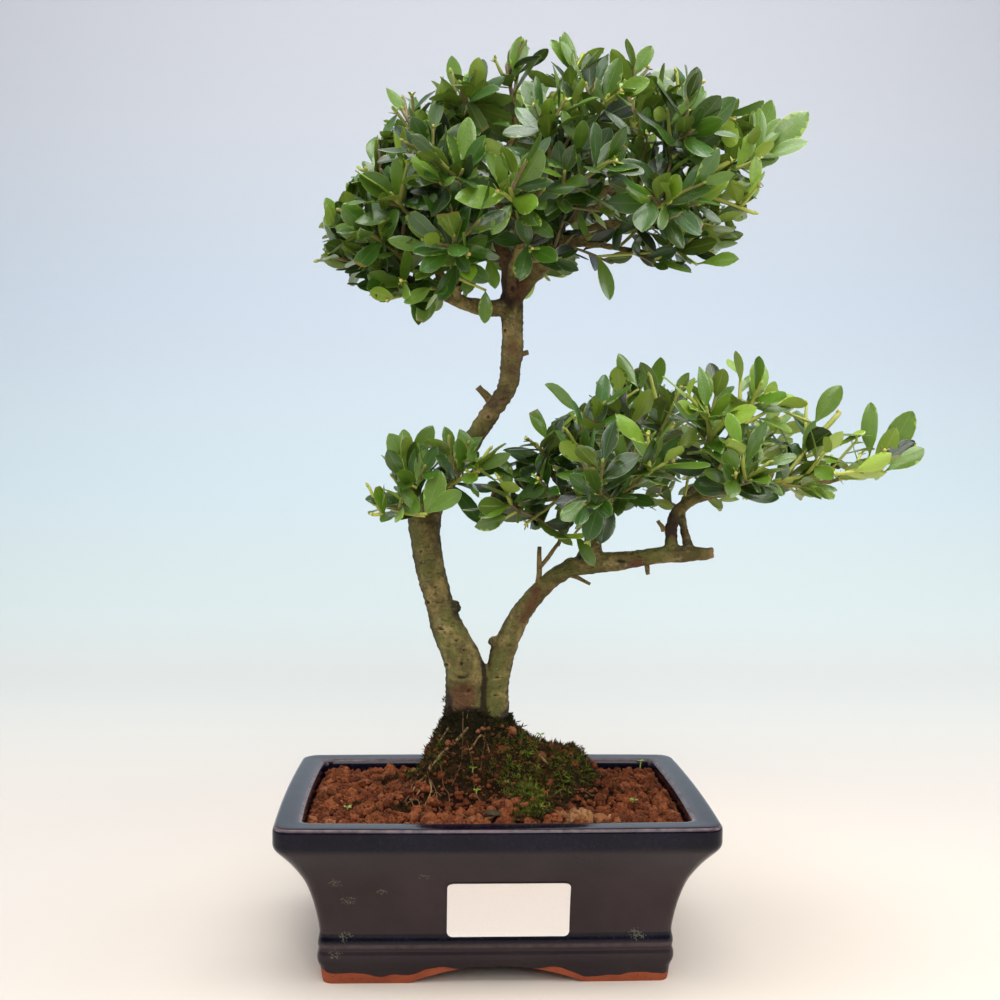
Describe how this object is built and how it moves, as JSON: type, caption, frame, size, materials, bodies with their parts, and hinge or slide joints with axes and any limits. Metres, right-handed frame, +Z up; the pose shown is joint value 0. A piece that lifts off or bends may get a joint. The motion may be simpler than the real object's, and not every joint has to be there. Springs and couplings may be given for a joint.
{
  "type": "japanese holly bonsai",
  "caption": "Small-leaved evergreen bonsai with a two-limbed trunk, a dense crown and a side pad, growing on a mossy mound in a footed rectangular glazed pot.",
  "frame": {"origin": "On the plane of the pot's feet, under the middle of the whole object's bounding box.", "axes": "+Z up, the longest extent. +X to the right and -Y towards the viewer when looking at the front with the label. The pot's long side runs along X."},
  "size_m": [0.2758, 0.1605, 0.3971],
  "materials": {
    "glaze": "gloss",
    "screen": "matte",
    "soil": "rough",
    "moss": "matte",
    "paper": "satin",
    "bark": "rough",
    "leaf": "satin"
  },
  "bodies": {
    "root": {"pot": "glaze", "drain_screen_left": "screen", "drain_screen_right": "screen", "soil": "soil", "moss": "moss", "label": "paper", "trunk_and_branches": "bark", "spray_crown_left_front": "leaf", "spray_crown_left_rear": "leaf", "spray_crown_left_end": "leaf", "spray_crown_left_below": "leaf", "spray_crown_left_shoulder": "leaf", "spray_crown_left_high": "leaf", "spray_crown_left_face": "leaf", "spray_crown_face_low": "leaf", "spray_crown_face_left": "leaf", "spray_crown_face_middle": "leaf", "spray_crown_face_upper": "leaf", "spray_crown_face_top": "leaf", "spray_crown_face_right": "leaf", "spray_crown_face_right_top": "leaf", "spray_crown_top_left": "leaf", "spray_crown_top_middle": "leaf", "spray_crown_top_right": "leaf", "spray_crown_top_far_right": "leaf", "spray_crown_right_top": "leaf", "spray_crown_right_face": "leaf", "spray_crown_right_below_face": "leaf", "spray_crown_right_cut_low": "leaf", "spray_crown_right_cut_far": "leaf", "spray_crown_right_end": "leaf", "spray_crown_right_low_end": "leaf", "spray_crown_right_shoulder": "leaf", "spray_crown_back_left_side": "leaf", "spray_crown_back_left_top": "leaf", "spray_crown_back_top": "leaf", "spray_crown_back_right_top": "leaf", "spray_crown_back_right_side": "leaf", "spray_crown_back_middle": "leaf", "spray_crown_back_middle_left": "leaf", "spray_crown_back_low": "leaf", "spray_pad_left_tip": "leaf", "spray_pad_left_low": "leaf", "spray_pad_left_rise": "leaf", "spray_pad_middle_rise": "leaf", "spray_pad_front_left": "leaf", "spray_pad_middle_top": "leaf", "spray_pad_right_face": "leaf", "spray_pad_front_middle": "leaf", "spray_pad_back_left": "leaf", "spray_pad_back_right": "leaf", "spray_pad_right_top": "leaf", "spray_pad_front_right": "leaf", "spray_pad_cut_high": "leaf", "spray_pad_cut_low": "leaf", "spray_pad_far_end": "leaf", "spray_pad_back_end": "leaf", "spray_trunk_left": "leaf", "spray_trunk_middle": "leaf", "spray_trunk_right": "leaf"}
  },
  "joints": []
}
